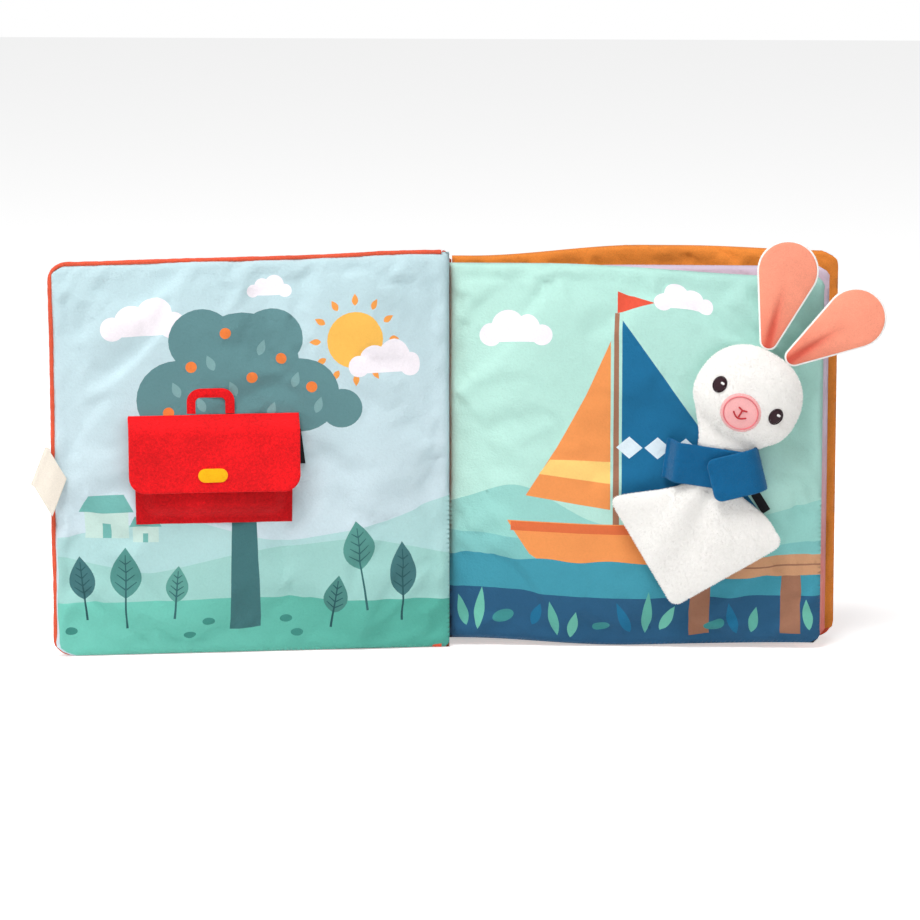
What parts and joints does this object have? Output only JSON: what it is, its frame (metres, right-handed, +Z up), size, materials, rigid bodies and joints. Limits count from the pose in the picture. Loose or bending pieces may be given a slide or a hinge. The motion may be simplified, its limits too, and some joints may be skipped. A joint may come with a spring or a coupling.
{
  "type": "cloth activity book",
  "caption": "Soft padded cloth book standing open, with piped covers, a felt briefcase pocket, a ribbon tag and a plush rabbit held by velour arms.",
  "frame": {"origin": "middle of the spine's foot, where the standing book meets the floor", "axes": "+Z up along the spine, +X along the first leaf from the gutter to its outer edge, -Y the way the open pages face"},
  "size_m": [0.4607, 0.0874, 0.2269],
  "materials": {
    "outer_velour": "short-napped orange velour",
    "piping_cloth": "matt woven piping",
    "mint_print": "matt printed cotton",
    "sky_print": "matt printed cotton",
    "star_velour": "short-napped orange velour with pale stars",
    "red_felt": "matt felt",
    "yellow_felt": "matt felt",
    "cream_ribbon": "matt twill ribbon",
    "black_tape": "matt woven tape",
    "blue_velour": "short-napped blue velour",
    "blue_fastener": "matt hook-and-loop tape",
    "white_plush": "soft white plush",
    "salmon_lining": "short-napped salmon lining",
    "pink_muzzle": "short-napped pink patch",
    "dark_thread": "matt embroidery thread"
  },
  "bodies": {
    "block": {"spine": "outer_velour", "spine_piping": "piping_cloth", "pages": "mint_print", "left_arm": "blue_velour", "right_arm": "blue_velour", "fastener_loop": "blue_fastener", "fastener_hook": "blue_fastener", "tether_tape": "black_tape", "rabbit_blanket": "white_plush", "rabbit_head": "white_plush", "rabbit_muzzle": "pink_muzzle", "rabbit_eyes": "dark_thread", "left_ear": "white_plush", "left_ear_lining": "salmon_lining", "right_ear": "white_plush", "right_ear_lining": "salmon_lining"},
    "front": {"front_cover": "outer_velour", "front_page": "sky_print", "front_piping": "piping_cloth", "tag_loop": "cream_ribbon", "case_pocket": "red_felt", "case_flap": "red_felt", "case_clasp": "yellow_felt", "case_handle": "red_felt", "case_tape": "black_tape"},
    "back": {"back_cover": "outer_velour", "back_page": "star_velour", "back_piping": "piping_cloth"}
  },
  "joints": [
    {"name": "front_cover_hinge", "type": "hinge", "parent": "block", "child": "front", "pos_m": [0.002, -0.01885, 0.11], "axis": [0, 0, 1], "range_deg": [-30, 154]},
    {"name": "back_cover_hinge", "type": "hinge", "parent": "block", "child": "back", "pos_m": [0.002, 0.01885, 0.11], "axis": [0, 0, 1], "range_deg": [0, 160]}
  ]
}
